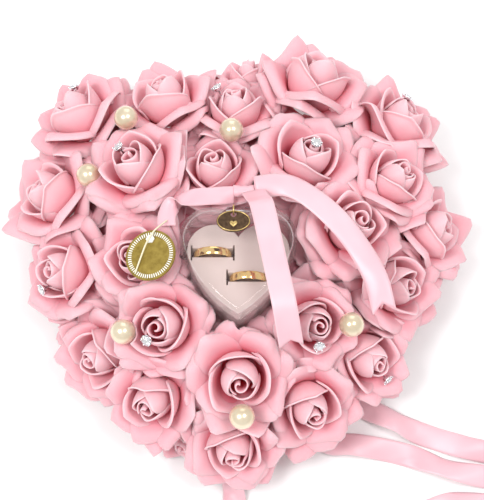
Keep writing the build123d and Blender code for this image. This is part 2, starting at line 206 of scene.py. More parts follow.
def plain_material(name, first, second, rough, scale, bump=0.1, **extra):
    """Cloth, card or moulded stock: two close screen colours in a grain, with matching bump."""
    m = Nodes(name)
    grain = m.noise(scale, 4, 0.6)
    m.set(Base_Color=m.ramp(grain, [(0.35, srgb(*first)), (0.65, srgb(*second))]))
    m.set(Roughness=m.range(grain, rough - 0.06, rough + 0.06), **extra)
    m.bump(grain, bump, 0.0003)
    return m.material


def metal_material(name, first, second, rough, scale=400, bump=0.05):
    """Metal with small wear marks and a slightly uneven polish."""
    m = Nodes(name)
    grain = m.noise(scale, 4, 0.6)
    m.set(Base_Color=m.ramp(grain, [(0.3, first), (0.7, second)]), Metallic=1.0)
    m.set(Roughness=m.range(m.noise(scale * 2, 3), rough * 0.7, rough * 1.3))
    m.bump(grain, bump, 0.0001)
    return m.material


def pearl_material():
    """Ivory pearl: warm cloudy body under a clear coat, with a soft rosy sheen."""
    m = Nodes("pearl")
    m.set(Base_Color=m.ramp(m.noise(120, 2), [(0.35, srgb(214, 196, 166)), (0.65, srgb(228, 214, 188))]))
    m.set(Metallic=0.5, Roughness=m.range(m.noise(300, 2), 0.2, 0.28), Coat_Weight=0.8, Coat_Roughness=0.05)
    m.set(Sheen_Weight=0.3, Sheen_Roughness=0.4, Sheen_Tint=(1.0, 0.82, 0.72, 1))
    m.bump(m.noise(800, 2), 0.03, 0.0002)
    return m.material


def crystal_material():
    """Clear cut stone."""
    m = Nodes("rhinestone")
    m.set(Base_Color=m.ramp(m.noise(400, 1), [(0.4, (0.93, 0.95, 1.0)), (0.6, (1.0, 1.0, 1.0))]))
    m.set(Roughness=0.02, Transmission_Weight=0.6, IOR=1.9, Metallic=0.3)
    return m.material


def clear_material():
    """Clear moulded plastic: nearly invisible face on, bright at its edges and highlights."""
    m = Nodes("clear_plastic")
    m.tree.nodes.remove(m.shader)
    tint = m.ramp(m.noise(90, 2), [(0.3, (0.99, 0.972, 0.975)), (0.7, (0.998, 0.988, 0.99))])
    see = m.add("ShaderNodeBsdfTransparent", {"Color": tint})
    mirror = m.add("ShaderNodeBsdfGlossy", {"Roughness": m.range(m.noise(160, 2), 0.02, 0.07)})
    haze = m.add("ShaderNodeBsdfTranslucent", {"Color": (1.0, 0.90, 0.92, 1)})
    fresnel = m.math("MULTIPLY", m.add("ShaderNodeFresnel", {"IOR": 1.3}).outputs["Fac"], 0.45)
    hazed = m.add("ShaderNodeMixShader", {0: 0.05, 1: see.outputs[0], 2: haze.outputs[0]})
    whole = m.add("ShaderNodeMixShader", {0: fresnel, 1: hazed.outputs[0], 2: mirror.outputs[0]})
    m.plug(m.output, "Surface", whole.outputs[0])
    return m.material


ROSE = rose_material()
SATIN = satin_material()
PEARL = pearl_material()
CRYSTAL = crystal_material()
CLEAR = clear_material()
GOLD = metal_material("ring_gold", (0.93, 0.65, 0.23), (1.0, 0.77, 0.35), 0.1, 250, 0.02)
STEEL = metal_material("pin_steel", (0.60, 0.60, 0.61), (0.72, 0.72, 0.72), 0.3)
SILVER = metal_material("setting_silver", (0.82, 0.82, 0.84), (0.93, 0.93, 0.94), 0.12)
BRONZE = metal_material("charm_bronze", (0.07, 0.045, 0.03), (0.16, 0.10, 0.06), 0.4, 500, 0.4)
BRASS = metal_material("charm_rim", (0.50, 0.34, 0.12), (0.72, 0.54, 0.24), 0.3, 500, 0.2)
FELT = plain_material("felt", (226, 150, 166), (240, 176, 188), 0.9, 1800, 0.5)
COVER = plain_material("cover_cloth", (214, 120, 138), (228, 148, 162), 0.6, 900, 0.3, Sheen_Weight=0.3)
BOARD = plain_material("board", (176, 164, 148), (198, 186, 168), 0.85, 1500, 0.3)
CORE = plain_material("core_foam", (236, 228, 206), (246, 240, 224), 0.9, 1200, 0.6)
FLOCK = plain_material("insert_foam", (202, 190, 184), (214, 202, 196), 0.92, 2600, 0.35)
# Brown painted shade for the floors of the slit ends, standing in for the shade deep in the cuts.
SLIT_SHADE = plain_material("insert_slit_shade", (120, 72, 58), (148, 94, 78), 0.9, 2600, 0.35)
TAG_WHITE = plain_material("tag_white", (236, 236, 228), (246, 246, 240), 0.3, 300, 0.05)
STRING = plain_material("tag_string", (222, 210, 176), (240, 232, 206), 0.7, 3000, 0.4)
TAG_GOLD = plain_material("tag_gold", (134, 112, 42), (160, 138, 62), 0.38, 260, 0.1, Metallic=0.35)


# -------- mesh helpers
def finish_piece(obj, material, body="root", replaces=()):
    """Gives a piece its material, hides the CAD nodes it stands for and, when a body is named, hangs it on that body.
    """
    obj.data.materials.append(material)
    if body:
        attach(obj, body)
    if replaces:
        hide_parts(*replaces)
    return obj


class Shape:
    """Points, faces and tones of one mesh while it is put together."""

    def __init__(self):
        self.points = []
        self.tones = []
        self.faces = []

    def add(self, points, faces, tones=None):
        """Adds points, the faces between them and their tones."""
        start = sum(len(part) for part in self.points)
        points = np.asarray(points, float)
        self.points.append(points)
        self.tones.append(np.full(len(points), 0.5) if tones is None else np.asarray(tones, float))
        self.faces.extend([tuple(start + corner for corner in face) for face in faces])

    def sheet(self, grid, tones, thickness, closed=False, lift=0.0):
        """Adds a grid of points as a sheet with two faces and narrowed rims. lift raises the outer face's tones, which
        paints light on that face and leaves the inner face in painted shade.
        """
        along = np.gradient(grid, axis=1)
        across = np.gradient(grid, axis=0)
        if closed:
            across[0] = across[-1] = grid[1] - grid[-2]
        normal = np.cross(across, along)
        normal /= np.maximum(np.linalg.norm(normal, axis=2, keepdims=True), 1e-9)
        columns, rows = grid.shape[:2]
        half = np.full((columns, rows), thickness / 2)
        half[:, -1] *= 0.5
        if not closed:
            half[0] *= 0.5
            half[-1] *= 0.5
        offset = normal * half[:, :, None]
        points = np.concatenate([(grid + offset).reshape(-1, 3), (grid - offset).reshape(-1, 3)])
        inner = tones.reshape(-1)
        self.add(points, sheet_faces(columns, rows), np.concatenate([lift + (1 - lift) * inner, inner]))

    def lathe(self, profile, segments, place):
        """Adds the surface turned by a profile of (radius, height) points, at a 4x4 place."""
        points = []
        rows = []
        for radius, height in profile:
            row_length = 1 if radius < 1e-7 else segments
            rows.append([len(points) + step for step in range(row_length)])
            for step in range(row_length):
                angle = 2 * math.pi * step / segments
                points.append(place @ Vector((radius * math.cos(angle), radius * math.sin(angle), height)))
        faces = []
        for lower, upper in zip(rows, rows[1:]):
            for step in range(segments):
                after = (step + 1) % segments
                if len(lower) == 1:
                    faces.append((lower[0], upper[after], upper[step]))
                elif len(upper) == 1:
                    faces.append((lower[step], lower[after], upper[0]))
                else:
                    faces.append((lower[step], lower[after], upper[after], upper[step]))
        self.add([tuple(point) for point in points], faces)

    def prism(self, outline, levels):
        """Adds a closed stack of one (x, y) outline. Each level is how far it is drawn in, and its height."""
        middle = outline.mean(0)
        points = []
        for inset, height in levels:
            flat = outline - (outline - middle) / np.linalg.norm(outline - middle, axis=1)[:, None] * inset
            points.extend([(x, y, height) for x, y in flat])
        self.add(points, stack_faces(len(outline), len(levels)))

    def make(self, name, smooth=True):
        """Makes the Blender object."""
        mesh = bpy.data.meshes.new(name)
        mesh.from_pydata(np.concatenate(self.points).tolist(), [], self.faces)
        mesh.polygons.foreach_set("use_smooth", [smooth] * len(mesh.polygons))
        attribute = mesh.attributes.new("tone", "FLOAT", "POINT")
        attribute.data.foreach_set("value", np.clip(np.concatenate(self.tones), 0, 1))
        mesh.update()
        return put(name, mesh)


def stack_faces(count, levels):
    """Faces of a closed stack of outlines with count points each, from the lowest level up."""
    faces = []
    for low in range(0, (levels - 1) * count, count):
        for step in range(count):
            after = (step + 1) % count
            faces.append((low + step, low + after, low + count + after, low + count + step))
    faces.append(tuple(range(count - 1, -1, -1)))
    faces.append(tuple((levels - 1) * count + step for step in range(count)))
    return faces


def sheet_faces(columns, rows):
    """Faces of a two-sided sheet whose points run column by column, one side after the other."""
    back = columns * rows
    faces = []
    for i in range(columns - 1):
        for j in range(rows - 1):
            a, b, c, d = i * rows + j, (i + 1) * rows + j, (i + 1) * rows + j + 1, i * rows + j + 1
            faces.append((a, b, c, d))
            faces.append((back + a, back + d, back + c, back + b))
    border = [i * rows for i in range(columns - 1)]
    border += [(columns - 1) * rows + j for j in range(rows - 1)]
    border += [i * rows + rows - 1 for i in range(columns - 1, 0, -1)]
    border += list(range(rows - 1, 0, -1))
    for here, after in zip(border, border[1:] + border[:1]):
        faces.append((after, here, back + here, back + after))
    return faces


def oval(half_x, half_y, height, count, centre=(0, 0), turn=0):
    """Level oval of (x, y, z) points, turned by a share of the step between two points."""
    angles = [2 * math.pi * (step + turn) / count for step in range(count)]
    return [(centre[0] + half_x * math.cos(a), centre[1] + half_y * math.sin(a), height) for a in angles]


def ramp_up(low, high, value):
    """Smooth ramp from 0 at low to 1 at high."""
    share = np.clip((value - low) / (high - low), 0, 1)
    return share * share * (3 - 2 * share)


def frame_matrix(origin, normal, sideways=None):
    """4x4 place with its Z along normal and its X near sideways."""
    z = normal.normalized()
    x = sideways or (Vector((1, 0, 0)) if abs(z.x) < 0.8 else Vector((0, 1, 0)))
    x = (x - z * x.dot(z)).normalized()
    place = Matrix((x, z.cross(x), z)).transposed().to_4x4()
    place.translation = origin
    return place


def moved(points, place):
    """Array of points moved by a 4x4 place."""
    matrix = np.array(place)
    return points @ matrix[:3, :3].T + matrix[:3, 3]


def node_points(name):
    """The points of a CAD node as an array, in metres."""
    mesh = nodes[name].data
    points = np.zeros(len(mesh.vertices) * 3)
    mesh.vertices.foreach_get("co", points)
    return points.reshape(-1, 3)


def fit_sphere(points):
    """Centre and radius of the sphere nearest to the points."""
    system = np.hstack([2 * points, np.ones((len(points), 1))])
    answer = np.linalg.lstsq(system, (points**2).sum(1), rcond=None)[0]
    centre = answer[:3]
    return Vector(centre), math.sqrt(answer[3] + centre @ centre)


def heart_outline(name, middle, count):
    """Evenly turned (x, y) outline of a CAD heart, seen from a point inside it."""
    flat = node_points(name)[:, :2] - middle
    angles = np.arctan2(flat[:, 1], flat[:, 0])
    order = np.argsort(angles)
    angles = angles[order]
    reach = np.hypot(flat[:, 0], flat[:, 1])[order]
    turns = np.linspace(-math.pi, math.pi, count, endpoint=False)
    spread = np.interp(turns, angles, reach, period=2 * math.pi)
    return middle + np.stack([np.cos(turns) * spread, np.sin(turns) * spread], axis=1)


def heart_middle(name):
    """Point inside a CAD heart from which its whole outline is seen."""
    low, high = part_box(name)
    return np.array([(low.x + high.x) / 2, low.y + 0.55 * (high.y - low.y)])


def smooth_line(points, count):
    """Evenly spaced points of the smooth curve through some points."""
    points = np.asarray(points, float)
    padded = np.vstack([2 * points[0] - points[1], points, 2 * points[-1] - points[-2]])
    line = []
    for a, b, c, d in zip(padded, padded[1:], padded[2:], padded[3:]):
        for t in np.linspace(0, 1, 24, endpoint=False):
            bend = 2 * b + (c - a) * t + (2 * a - 5 * b + 4 * c - d) * t**2
            line.append(0.5 * (bend + (3 * b - a - 3 * c + d) * t**3))
    line.append(points[-1])
    line = np.array(line)
    run = np.concatenate([[0], np.cumsum(np.linalg.norm(np.diff(line, axis=0), axis=1))])
    places = np.linspace(0, run[-1], count)
    return np.stack([np.interp(places, run, line[:, axis]) for axis in range(3)], axis=1), run[-1]


# -------- string of the round tag
TAG_CENTRE = Vector((-48.8, -20.0, 91.0)) * MM
TAG_TILT = math.radians(18)
TAG_NORMAL = Vector((-math.sin(TAG_TILT), 0, math.cos(TAG_TILT)))
TAG_ACROSS = Vector((math.cos(TAG_TILT), 0, math.sin(TAG_TILT)))
TAG_PLACE = frame_matrix(TAG_CENTRE, TAG_NORMAL, TAG_ACROSS)
TAG_RADIUS = 14.2 * MM
TAG_THICKNESS = 1.0 * MM
TAG_HOLE_OFFSET = 9.0 * MM
TAG_DASHES = 60
STRING_DIAMETER = 0.9 * MM
STRING_POINTS = [(6.4, 21.5, -5.6), (4.6, 16.2, 0.6), (2.4, 12.4, 3.6), (-1.2, 6.5, 4.0)]
STRING_POINTS += [(-4.6, -1.5, 3.2), (-8.0, -9.5, 1.9)]


def make_string():
    """The tag's string as one smooth curve."""
    curve = bpy.data.curves.new("tag_string", "CURVE")
    curve.dimensions = "3D"
    curve.bevel_depth = STRING_DIAMETER / 2
    curve.bevel_resolution = 4
    curve.resolution_u = 16
    curve.use_fill_caps = True
    spline = curve.splines.new("NURBS")
    spline.points.add(len(STRING_POINTS) - 1)
    places = [TAG_PLACE @ (Vector(point) * MM) for point in STRING_POINTS]
    for point, place in zip(spline.points, places):
        point.co = (*place, 1)
    spline.order_u = 3
    spline.use_endpoint_u = True
    obj = put("tag_string", curve)
    finish_piece(obj, STRING, "tag", ["tag_cord"])


make_string()

# -------- room kept free of petals
base_low, base_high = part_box("ring_box_base")
box_middle = heart_middle("ring_box_lid")
box_outline = heart_outline("ring_box_lid", box_middle, 180)
box_reach = np.linalg.norm(box_outline - box_middle, axis=1)
box_turns = np.linspace(-math.pi, math.pi, 180, endpoint=False)
pearl_centres = [np.array(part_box(f"pearl_{n}")).mean(0) for n in range(1, 7)]
pearl_reach = (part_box("pearl_1")[1].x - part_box("pearl_1")[0].x) / 2
BOX_ROOM = 1.8 * MM
BOX_ROOM_DEPTH = 4 * MM  # below the box's foot
NEAR_BOX = 14 * MM
BELOW_RIM = 3 * MM
RIM_PRESS = 0.8
PEARL_ROOM = 1.0 * MM
TABLE_ROOM = 1.2 * MM
COVERED_FADE = 6  # millimetres past a half width below, over which the press fades
# Route, half width and underside of what lies over the roses, in millimetres.
OVER_ROSES = [
    ([(7, 21), (24, 22), (40, 12), (58, -6), (72, -30), (76, -50)], 7.5, 87.2),
    ([(-5, 16.5), (-26, 15), (-41, 13), (-41, -1)], 6.0, 83.6),
    ([(-6, 19.5), (8, 19.5)], 6.5, 82.0),
    ([(-48.8, -14), (-48.8, -26)], 15.0, 84.0),
    ([(-24, 12), (22, 12)], 10.0, 85.0),
    ([(24, -62), (26, -72)], 8.0, 86.5),
]


def keep_room(points):
    """Moves petal points off the box, pearls and table and under the ribbons. Faces between can still cut in."""
    flat = points[:, :2] - box_middle
    reach = np.linalg.norm(flat, axis=1)
    limit = np.interp(np.arctan2(flat[:, 1], flat[:, 0]), box_turns, box_reach, period=2 * math.pi) + BOX_ROOM
    inside = (reach < limit) & (points[:, 2] > base_low.z - BOX_ROOM_DEPTH)
    points[inside, :2] = box_middle + flat[inside] / reach[inside, None] * limit[inside, None]
    near_box = reach < limit + NEAR_BOX
    rise = points[:, 2] - (base_high.z - BELOW_RIM)
    points[:, 2] -= np.where(near_box & (rise > 0), rise * RIM_PRESS, 0)
    for centre in pearl_centres:
        away = points - centre
        distance = np.linalg.norm(away, axis=1)
        hit = distance < pearl_reach + PEARL_ROOM
        points[hit] = centre + away[hit] / distance[hit, None] * (pearl_reach + PEARL_ROOM)
    for route, half_width, underside in OVER_ROSES:
        gap = np.full(len(points), 1.0)
        for start, end in zip(route, route[1:]):
            a, b = np.array(start) * MM, np.array(end) * MM
            share = np.clip(((points[:, :2] - a) @ (b - a)) / ((b - a) @ (b - a)), 0, 1)
            gap = np.minimum(gap, np.linalg.norm(points[:, :2] - a - share[:, None] * (b - a), axis=1))
        press = 1 - ramp_up(half_width * MM, (half_width + COVERED_FADE) * MM, gap)
        points[:, 2] -= np.maximum(points[:, 2] - underside * MM, 0) * press
    points[:, 2] = np.maximum(points[:, 2], TABLE_ROOM)
    return points


# -------- roses
ROSE_HEIGHT = 16 * MM
ROSE_ROOT_HEIGHT = 12 * MM
FOAM_THICKNESS = 1.1 * MM
# Painted light: how much lighter the petals' outer faces are coloured than their inner faces, which stay in painted
# shade.
OUTER_FACE_PAINTED_LIGHT = 0.34
PETAL_ACROSS = 19
PETAL_ALONG = 18
BUD_TURNS = 1.45
BUD_ALONG = 72
BUD_UP = 10
ROSE_SEED = 1000
NEIGHBOUR_REACH = 62 * MM  # between heads
PETAL_ALLOWANCE = 2.5 * MM  # past halfway to a neighbour
PRESS_BACK = 0.5
PRESS_UP = 0.3


def rose_pose(name):
    """Head centre, axis, radius and crown sphere of a rose, from the sphere that its CAD crown lies on."""
    points = node_points(name)
    middle = Vector(points.mean(0))
    outward = (middle - Vector((middle.x / 2, middle.y / 2, ROSE_ROOT_HEIGHT))).normalized()
    for _ in range(4):
        reach = points @ np.array(outward)
        crown = points[reach > reach.max() - 0.5 * ROSE_HEIGHT]
        centre, sphere = fit_sphere(crown)
        head = centre + outward * (sphere - ROSE_HEIGHT)
        outward = (head - Vector((head.x / 2, head.y / 2, ROSE_ROOT_HEIGHT))).normalized()
    radius = math.sqrt(max(2 * ROSE_HEIGHT * sphere - ROSE_HEIGHT**2, 1e-8))
    return dict(head=head, outward=outward, radius=radius, centre=centre, sphere=sphere)


rose_names = sorted(name for name in nodes if name.startswith("rose_"))
rose_poses = {name: rose_pose(name) for name in rose_names}

# Rings of petals from the bud outwards. Sizes are shares of the rose's radius, angles are in degrees.
# span is half the turn of a petal, lean its angle from upright at the foot, change what that gains by the
# rim. fall shortens its sides, point draws out its middle. From lip on its rim rolls out by roll, and peel
# turns its sides out. flat opens it from a curl to a loose blade, upright turns the ring to straight up.
PETAL_RINGS = [
    dict(count=3, foot=(0.42, -0.20), length=1.05, span=84, lean=28, change=-58, fall=0.38, point=0.05,
         lip=0.90, roll=16, flat=0.0, peel=0, upright=0.0),
    dict(count=3, foot=(0.58, -0.32), length=1.02, span=80, lean=32, change=-44, fall=0.50, point=0.16,
         lip=0.80, roll=50, flat=0.05, peel=34, upright=0.0),
    dict(count=4, foot=(0.60, -0.36), length=1.08, span=64, lean=24, change=26, fall=0.42, point=0.30,
         lip=0.66, roll=62, flat=0.25, peel=80, upright=0.3),
    dict(count=5, foot=(0.55, -0.46), length=1.16, span=54, lean=36, change=28, fall=0.40, point=0.32,
         lip=0.66, roll=58, flat=0.4, peel=95, upright=0.45),
    dict(count=5, foot=(0.52, -0.62), length=1.22, span=50, lean=58, change=22, fall=0.38, point=0.30,
         lip=0.70, roll=50, flat=0.45, peel=80, upright=0.5),
    dict(count=5, foot=(0.40, -0.72), length=1.20, span=44, lean=88, change=26, fall=0.26, point=0.14,
         lip=0.88, roll=15, flat=0.5, peel=10, upright=0.15),
]


def petal(rng, ring, radius):
    """Grid and tones of one petal that faces +X of its rose."""
    across = np.linspace(-1, 1, PETAL_ACROSS)[:, None]
    along = np.linspace(0, 1, PETAL_ALONG)[None, :]
    tip = ring["point"] * rng.uniform(0.6, 1.2)
    tip = tip * np.exp(-((np.abs(across - rng.uniform(-0.2, 0.2)) / 0.24) ** 1.3))
    length = radius * ring["length"] * rng.uniform(0.94, 1.06)
    length = length * (1 - ring["fall"] * np.abs(across) ** 2.2 + tip)
    lip = ramp_up(ring["lip"], 1.0, along) ** 1.3
    loose = 3 + 10 * ring["flat"]
    lean = ring["lean"] + rng.uniform(-loose, loose) + (ring["change"] + rng.uniform(-2, 2) * loose) * along
    peel = ring["peel"] * (1 + rng.uniform(-0.8, 0.8) * across) * np.abs(across) ** 2.2 * along**1.5
    lean = lean + (ring["roll"] * rng.uniform(0.6, 1.4)) * lip + peel
    angle = np.radians(lean)
    step = length / (PETAL_ALONG - 1)
    out = np.cumsum(np.sin(angle) * step, axis=1)
    up = np.cumsum(np.cos(angle) * step, axis=1)
    reach = radius * ring["foot"][0] + out - out[:, :1] + 0.06 * radius * across
    height = radius * ring["foot"][1] + up - up[:, :1]
    width = (0.7 + 0.3 * ramp_up(0, 0.45, along)) * (1 - 0.10 * ramp_up(0.75, 1, along))
    turn = np.radians(ring["span"] * rng.uniform(0.95, 1.05)) * across * width
    opened = ramp_up(0.45, 1.0, along) * (0.012 + 0.13 * ring["flat"])
    wave = radius * opened * np.sin(rng.uniform(3.5, 6.5) * across + rng.uniform(0, 6.3))
    x = reach * (1 - (1 - np.cos(turn)) * (1 - ring["flat"])) + wave
    y = reach * np.sin(turn)
    # Painted light and shade: tones run from dark at the petal's foot to pale near its end, and the rims get a painted
    # highlight.
    rim = np.maximum(ramp_up(0.93, 1.0, along), ramp_up(0.93, 1.0, np.abs(across)) * ramp_up(0.2, 0.6, along))
    tones = 0.04 + 0.70 * along**0.8 + 0.20 * rim
    return np.stack([x, y, height + wave], axis=2), np.broadcast_to(tones, x.shape)


def bud(rng, radius):
    """Grid and tones of the rolled middle: one strip of foam wound into a tightening spiral."""
    share = np.linspace(0, 1, BUD_ALONG)[:, None]
    up = np.linspace(0, 1, BUD_UP)[None, :]
    phase = rng.uniform(0, 2 * math.pi)
    angle = phase + share * BUD_TURNS * 2 * math.pi
    reach = radius * (0.04 + 0.35 * share**0.85)
    top = ROSE_HEIGHT * (0.94 - 0.08 * share + 0.045 * np.sin(angle * 1.5 + phase))
    swell = 1 + 0.14 * np.sin(math.pi * np.minimum(up * 1.15, 1)) - 0.24 * ramp_up(0.55, 1, up) * share
    x = reach * swell * np.cos(angle)
    y = reach * swell * np.sin(angle)
    z = np.broadcast_to(-0.2 * ROSE_HEIGHT + (top + 0.2 * ROSE_HEIGHT) * up, x.shape)
    # Painted shade: tones are dark low down inside the bud and pale towards its top, with a painted highlight along
    # the top rim.
    tones = np.broadcast_to(0.02 + 0.62 * up**1.5 + 0.2 * ramp_up(0.9, 1, up), x.shape)
    return np.stack([x, y, z], axis=2), tones


def press_apart(points, name):
    """Presses petals back by only a share of their reach past halfway to a neighbour, so some still cut in."""
    pose = rose_poses[name]
    outward = np.array(pose["outward"])
    for other, near in rose_poses.items():
        gap = near["head"] - pose["head"]
        if other == name or gap.length > NEIGHBOUR_REACH:
            continue
        share = pose["radius"] / (pose["radius"] + near["radius"])
        halfway = np.array(pose["head"] + gap * share)
        direction = np.array(gap.normalized())
        past = np.maximum((points - halfway) @ direction - PETAL_ALLOWANCE, 0)[:, None]
        points = points - direction * past * PRESS_BACK + outward * past * PRESS_UP
    return points


def make_rose(number, name):
    """Builds one rose: a wound bud and rings of petals on its CAD axis, the open ones turned to the light."""
    rng = random.Random(ROSE_SEED + number)
    pose = rose_poses[name]
    radius = pose["radius"]
    spin = Matrix.Rotation(rng.uniform(0, 2 * math.pi), 4, "Z")
    grids = [(bud(rng, radius), frame_matrix(pose["head"], pose["outward"]) @ spin)]
    turn = rng.uniform(0, 2 * math.pi)
    for ring in PETAL_RINGS:
        axis = pose["outward"].lerp(Vector((0, 0, 1)), ring["upright"])
        place = frame_matrix(pose["head"], axis) @ spin
        for index in range(ring["count"]):
            azimuth = turn + 2 * math.pi * (index + rng.uniform(-0.07, 0.07)) / ring["count"]
            grids.append((petal(rng, ring, radius), place @ Matrix.Rotation(azimuth, 4, "Z")))
        turn += math.pi / ring["count"] + rng.uniform(-0.2, 0.2)
    shape = Shape()
    for (grid, tones), where in grids:
        points = moved(grid.reshape(-1, 3), where)
        points = keep_room(press_apart(points, name))
        shape.sheet(points.reshape(grid.shape), tones, FOAM_THICKNESS, lift=OUTER_FACE_PAINTED_LIGHT)
    finish_piece(shape.make(f"petals_{name}"), ROSE, "root", [name])


for number, name in enumerate(rose_names):
    make_rose(number, name)


# -------- cushion
CUSHION_STEPS = 240
COVER_STAGES = 18
COVER_SEED = 7
COVER_OUTSET = 0.005
PIPING_RADIUS = 1.7 * MM
PIPING_SCALE = 1.014  # brings it out to the board's edge
felt_low, felt_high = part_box("felt_backing")
cover_low, cover_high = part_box("cover_fabric")
cushion_outline = heart_outline("felt_backing", np.array([0.0, -0.01]), CUSHION_STEPS)


def make_cover():
    """Domed cloth cover, gathered in small puckers towards its foot."""
    rng = np.random.default_rng(COVER_SEED)
    shape = Shape()
    phases = rng.uniform(0, 2 * math.pi, 3)
    turns = np.linspace(0, 2 * math.pi, CUSHION_STEPS, endpoint=False)
    pucker = 0.5 * np.sin(46 * turns + phases[0]) + 0.3 * np.sin(71 * turns + phases[1])
    pucker = pucker + 0.2 * np.sin(19 * turns + phases[2])
    points = []
    for stage in range(COVER_STAGES + 1):
        rise = stage / COVER_STAGES
        scale = 1 - 0.55 * rise**2.2
        height = cover_low.z + (cover_high.z - cover_low.z) * math.sin(rise * math.pi / 2)
        flat = cushion_outline * (scale + COVER_OUTSET) + np.array([0, -8 * MM * rise])
        flat = flat * (1 + 0.008 * (pucker + 1)[:, None] * (1 - rise) ** 1.5)
        points.extend([(x, y, height + 0.0003 * rise) for x, y in flat])
    shape.add(points, stack_faces(CUSHION_STEPS, COVER_STAGES + 1))
    cover = finish_piece(shape.make("cushion_cover"), COVER, "root", ["cover_fabric"])


def ring_bead(name, line, radius, material, body, sides=10):
    """Closed round bead along a loop of points."""
    line = np.asarray(line, float)
    ahead = np.roll(line, -1, axis=0) - np.roll(line, 1, axis=0)
    ahead /= np.linalg.norm(ahead, axis=1)[:, None]
    reference = np.array([0.0, 0.0, 1.0]) if abs(ahead[:, 2]).max() < 0.9 else np.array([1.0, 0.0, 0.0])
    side = np.cross(ahead, reference)
    side /= np.linalg.norm(side, axis=1)[:, None]
    up = np.cross(side, ahead)
    points = []
    for corner in range(sides):
        angle = 2 * math.pi * corner / sides
        points.append(line + radius * (side * math.cos(angle) + up * math.sin(angle)))
    points = np.stack(points, axis=1).reshape(-1, 3)
    faces = []
    for i in range(len(line)):
        after = (i + 1) % len(line)
        for j in range(sides):
            k = (j + 1) % sides
            faces.append((i * sides + j, after * sides + j, after * sides + k, i * sides + k))
    shape = Shape()
    shape.add(points, faces)
    return finish_piece(shape.make(name), material, body, ())


def make_felt():
    """Felt backing with softened edges, and the piping that wraps the board's edge above it."""
    shape = Shape()
    inset = 0.5 * MM
    levels = [(inset, felt_low.z), (0, felt_low.z + inset), (0, felt_high.z - inset), (inset, felt_high.z)]
    shape.prism(cushion_outline, levels)
    finish_piece(shape.make("felt_sheet"), FELT, "root", ["felt_backing"])
    height = (felt_high.z + cover_low.z) / 2
    edge = [(x * PIPING_SCALE, y * PIPING_SCALE, height) for x, y in cushion_outline]
    ring_bead("cover_piping", edge, PIPING_RADIUS, COVER, "root")


make_cover()
make_felt()

# -------- rhinestones
STONE_RADIUS = 2.8 * MM
STONE_SIDES = 8
STONE_RINGS = [(0.55, 3.2, 0), (0.80, 2.75, 0.5), (1, 2.3, 0), (1, 2.0, 0)]  # share of radius, mm up, turn
STONE_STANDOFF = 1 * MM
STONE_MIDDLE = 2.6 * MM  # height of a CAD stone's middle over its rose's crown
CLAWS = 6
# Profiles of (radius, height) in millimetres.
CUP_PROFILE = [(0, -7), (0.5, -6.6), (0.5, -0.6), (1.9, -0.5), (3.1, 1.2), (3.2, 1.9), (3.0, 1.9), (0.5, 0.05), (0, 0)]
CLAW_PROFILE = [(0, -0.7), (0.42, -0.5), (0.5, 0), (0.36, 0.36), (0, 0.5)]
LOCK_PROFILE = [(0, 0), (2.2, 0), (2.5, 0.3), (2.5, 1.0), (2.1, 1.5), (0.9, 1.6), (0.7, 1.3), (0, 1.3)]


def scaled(profile):
    """Profile in metres."""
    return [(radius * MM, height * MM) for radius, height in profile]


def islands(name):
    """Middles of the separate solids of a CAD node."""
    points = node_points(name)
    middles = []
    left = np.ones(len(points), bool)
    while left.any():
        seed = points[np.argmax(left)]
        for _ in range(6):
            near = left & (np.linalg.norm(points - seed, axis=1) < 5 * MM)
            seed = (points[near].min(0) + points[near].max(0)) / 2
        middles.append(seed)
        left &= ~near
    return [Vector(middle) for middle in middles]


def stone_place(middle):
    """Place of a stone's cup on the crown of the rose that it stands on."""
    pose = min(rose_poses.values(), key=lambda p: abs((middle - p["centre"]).length - p["sphere"] - STONE_MIDDLE))
    normal = (middle - pose["centre"]).normalized()
    return frame_matrix(pose["centre"] + normal * (pose["sphere"] + STONE_STANDOFF), normal)


def add_stone(shape, place):
    """Adds a cut stone: flat table, kite and triangle facets, girdle and a pointed pavilion."""
    points = []
    for share, height, turn in STONE_RINGS:
        radius = share * STONE_RADIUS
        points += oval(radius, radius, height * MM, STONE_SIDES, turn=turn)
    points.append((0, 0, 0.15 * MM))
    n = STONE_SIDES
    faces = [tuple(range(n))]
    for step in range(n):
        after = (step + 1) % n
        faces.append((step, n + step, after))
        faces.append((step, 2 * n + step, n + step))
        faces.append((after, n + step, 2 * n + after))
        faces.append((n + step, 2 * n + step, 2 * n + after))
        faces.append((2 * n + step, 3 * n + step, 3 * n + after, 2 * n + after))
        faces.append((3 * n + step, 4 * n, 3 * n + after))
    shape.add(moved(np.array(points), place), faces)


def make_stones():
    """Cut stones in silver cups with six claws and a pin."""
    stones = Shape()
    cups = Shape()
    for middle in islands("rhinestones"):
        place = stone_place(middle)
        add_stone(stones, place)
        cups.lathe(scaled(CUP_PROFILE), 24, place)
        for claw in range(CLAWS):
            turned = place @ Matrix.Rotation(math.pi * claw / (CLAWS / 2), 4, "Z")
            cups.lathe(scaled(CLAW_PROFILE), 10, turned @ Matrix.Translation((2.95 * MM, 0, 2.4 * MM)))
    finish_piece(stones.make("cut_stones", False), CRYSTAL, "root", ["rhinestones"])
    finish_piece(cups.make("stone_cups"), SILVER, "root", ["stone_settings"])


make_stones()

# -------- ring insert and rings
insert_low, insert_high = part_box("ring_insert")
insert_middle = heart_middle("ring_insert")
card_outline = heart_outline("insert_card", insert_middle, 160)
insert_outline = insert_middle + (card_outline - insert_middle) * (28 / 28.8)
CROSS_CUT_HALF = 4.4 * MM
CROSS_CUT_WIDTH = 0.9 * MM


def add_loop(curve, points):
    """Adds a closed straight-sided outline to a flat curve."""
    spline = curve.splines.new("POLY")
    spline.points.add(len(points) - 1)
    for point, (x, y) in zip(spline.points, points):
        point.co = (x, y, 0, 1)
    spline.use_cyclic_u = True


